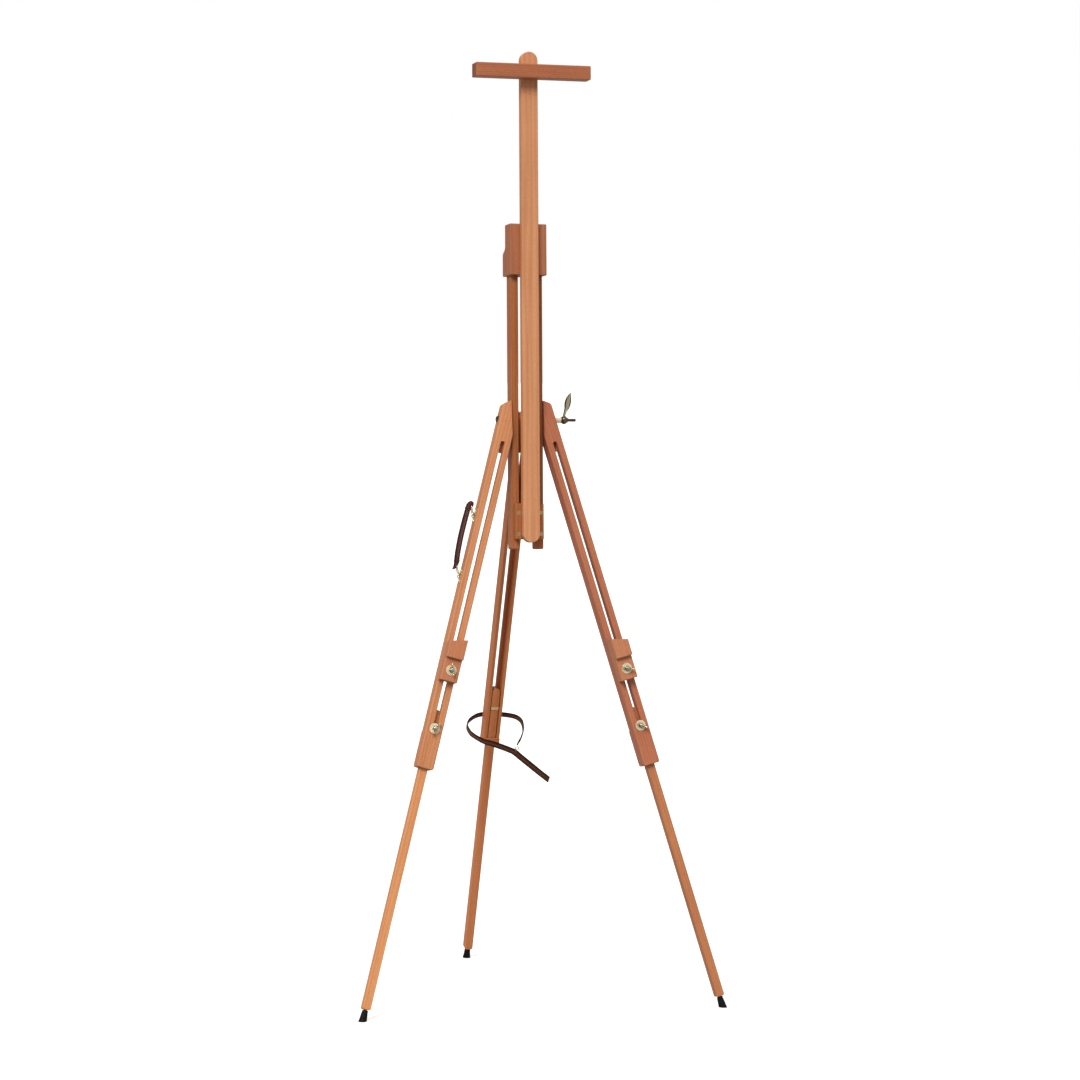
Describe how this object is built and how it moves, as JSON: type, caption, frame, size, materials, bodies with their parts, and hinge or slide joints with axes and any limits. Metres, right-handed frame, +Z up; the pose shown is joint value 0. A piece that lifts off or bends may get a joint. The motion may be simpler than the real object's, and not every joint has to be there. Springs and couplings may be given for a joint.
{
  "type": "tripod field easel",
  "caption": "Folding beech field easel with sliding mast, crossbar, telescopic legs, canvas ledges, brass wing nuts, leather handle and strap.",
  "frame": {"origin": "on the floor, in the middle of the footprint's box, below the easel", "axes": "+Z up, -Y towards the painter and the canvas side, +X to the side that carries the tilt lever"},
  "size_m": [0.7824, 0.6076, 1.9524],
  "materials": {
    "beech": "oiled planed beech, satin",
    "beech_dark": "oiled planed beech, a darker board",
    "brass": "bright cast and turned brass",
    "steel": "zinc plated steel",
    "leather": "dark red-brown harness leather, burnished edges",
    "rubber": "black rubber"
  },
  "bodies": {
    "pivot": {"pivot_sleeve": "steel"},
    "mast_frame": {"rail_left": "beech", "rail_right": "beech", "head_block": "beech", "lower_guide_block": "beech", "lower_guide_screws": "brass", "clamp_insert": "brass"},
    "mast": {"mast_bar": "beech", "mast_tongue": "beech", "crossbar": "beech_dark", "crossbar_screws": "brass"},
    "mast_clamp": {"mast_clamp_screw": "brass"},
    "tilt_bolt": {"tilt_bolt": "steel", "tilt_bolt_washer": "steel"},
    "lever_stack": {"lever_washer": "steel", "lever_spacer": "steel"},
    "tilt_lever": {"tilt_lever": "brass"},
    "rear_leg": {"rear_leg_body": "beech", "rear_leg_bridge": "beech", "strap_loop": "leather", "strap_tail": "leather", "strap_ring": "brass", "strap_screws": "brass"},
    "rear_extension": {"rear_extension": "beech", "rear_rubber_foot": "rubber", "rear_t_bolt": "brass", "rear_washer": "brass"},
    "rear_knob": {"rear_wing_nut": "brass"},
    "handle": {"handle_leather": "leather", "handle_links": "brass"},
    "front_left_leg": {"front_left_leg_body": "beech", "front_left_back_plate": "beech", "handle_plates": "brass"},
    "front_left_extension": {"front_left_extension": "beech", "front_left_rubber_foot": "rubber", "front_left_extension_bolt": "steel", "front_left_extension_washer": "brass"},
    "front_left_extension_knob": {"front_left_extension_wing_nut": "brass"},
    "front_left_support": {"front_left_canvas_support": "beech", "front_left_support_bolt": "steel", "front_left_support_washer": "brass"},
    "front_left_support_knob": {"front_left_support_wing_nut": "brass"},
    "front_right_leg": {"front_right_leg_body": "beech", "front_right_back_plate": "beech"},
    "front_right_extension": {"front_right_extension": "beech", "front_right_rubber_foot": "rubber", "front_right_extension_bolt": "steel", "front_right_extension_washer": "brass"},
    "front_right_extension_knob": {"front_right_extension_wing_nut": "brass"},
    "front_right_support": {"front_right_canvas_support": "beech", "front_right_support_bolt": "steel", "front_right_support_washer": "brass"},
    "front_right_support_knob": {"front_right_support_wing_nut": "brass"}
  },
  "joints": [
    {"name": "mast_tilt", "type": "hinge", "parent": "pivot", "child": "mast_frame", "pos_m": [0, -0.049, 1.195], "axis": [-1, 0, 0], "range_deg": [-10, 84]},
    {"name": "mast_slide", "type": "slide", "parent": "mast_frame", "child": "mast", "axis": [0, 0.1045, 0.9945], "range_m": [-0.285, 0.06]},
    {"name": "mast_clamp_turn", "type": "hinge", "parent": "mast_frame", "child": "mast_clamp", "pos_m": [0, -0.00949, 1.57093], "axis": [0, 0.9945, -0.1045], "continuous": true},
    {"name": "tilt_bolt_travel", "type": "slide", "parent": "pivot", "child": "tilt_bolt", "axis": [-1, 0, 0], "range_m": [0, 0.0142]},
    {"name": "lever_travel", "type": "slide", "parent": "pivot", "child": "lever_stack", "axis": [1, 0, 0], "range_m": [0, 0.0142]},
    {"name": "tilt_lever_turn", "type": "hinge", "parent": "lever_stack", "child": "tilt_lever", "pos_m": [0.087, -0.049, 1.195], "axis": [1, 0, 0], "range_deg": [-90, 120]},
    {"name": "rear_leg_swing", "type": "hinge", "parent": "pivot", "child": "rear_leg", "pos_m": [0, -0.049, 1.195], "axis": [-1, 0, 0], "range_deg": [-12, 20]},
    {"name": "rear_extension_slide", "type": "slide", "parent": "rear_leg", "child": "rear_extension", "axis": [0, 0.2756, -0.9613], "range_m": [-0.455, 0]},
    {"name": "rear_knob_turn", "type": "hinge", "parent": "rear_extension", "child": "rear_knob", "pos_m": [0, 0.12948, 0.57258], "axis": [0, 0.9613, 0.2756], "continuous": true},
    {"name": "handle_swing", "type": "hinge", "parent": "front_left_leg", "child": "handle", "pos_m": [-0.13848, -0.10844, 0.93797], "axis": [0.2689, 0.192, 0.9438], "range_deg": [-15, 15]},
    {"name": "front_left_splay", "type": "hinge", "parent": "pivot", "child": "front_left_leg", "pos_m": [-0.0343, -0.05662, 1.15755], "axis": [0, -0.9799, 0.1994], "range_deg": [0, 15.6]},
    {"name": "front_left_extension_slide", "type": "slide", "parent": "front_left_leg", "child": "front_left_extension", "axis": [-0.2689, -0.192, -0.9438], "range_m": [-0.43, 0]},
    {"name": "front_left_extension_knob_turn", "type": "hinge", "parent": "front_left_extension", "child": "front_left_extension_knob", "pos_m": [-0.21982, -0.17612, 0.57019], "axis": [0, -0.9799, 0.1994], "continuous": true},
    {"name": "front_left_support_slide", "type": "slide", "parent": "front_left_extension", "child": "front_left_support", "axis": [0.2689, 0.192, 0.9438], "range_m": [-0.07, 0.435]},
    {"name": "front_left_support_knob_turn", "type": "hinge", "parent": "front_left_support", "child": "front_left_support_knob", "pos_m": [-0.18729, -0.15288, 0.68439], "axis": [0, -0.9799, 0.1994], "continuous": true},
    {"name": "front_right_splay", "type": "hinge", "parent": "pivot", "child": "front_right_leg", "pos_m": [0.0343, -0.05662, 1.15755], "axis": [0, 0.9799, -0.1994], "range_deg": [0, 15.6]},
    {"name": "front_right_extension_slide", "type": "slide", "parent": "front_right_leg", "child": "front_right_extension", "axis": [0.2689, -0.192, -0.9438], "range_m": [-0.43, 0]},
    {"name": "front_right_extension_knob_turn", "type": "hinge", "parent": "front_right_extension", "child": "front_right_extension_knob", "pos_m": [0.21982, -0.17612, 0.57019], "axis": [0, -0.9799, 0.1994], "continuous": true},
    {"name": "front_right_support_slide", "type": "slide", "parent": "front_right_extension", "child": "front_right_support", "axis": [-0.2689, 0.192, 0.9438], "range_m": [-0.07, 0.435]},
    {"name": "front_right_support_knob_turn", "type": "hinge", "parent": "front_right_support", "child": "front_right_support_knob", "pos_m": [0.18729, -0.15288, 0.68439], "axis": [0, -0.9799, 0.1994], "continuous": true}
  ],
  "couplings": [
    {"joint": "tilt_bolt_travel", "follows": "front_left_splay", "m_per_rad": 0.05042},
    {"joint": "lever_travel", "follows": "front_right_splay", "m_per_rad": 0.05042}
  ]
}
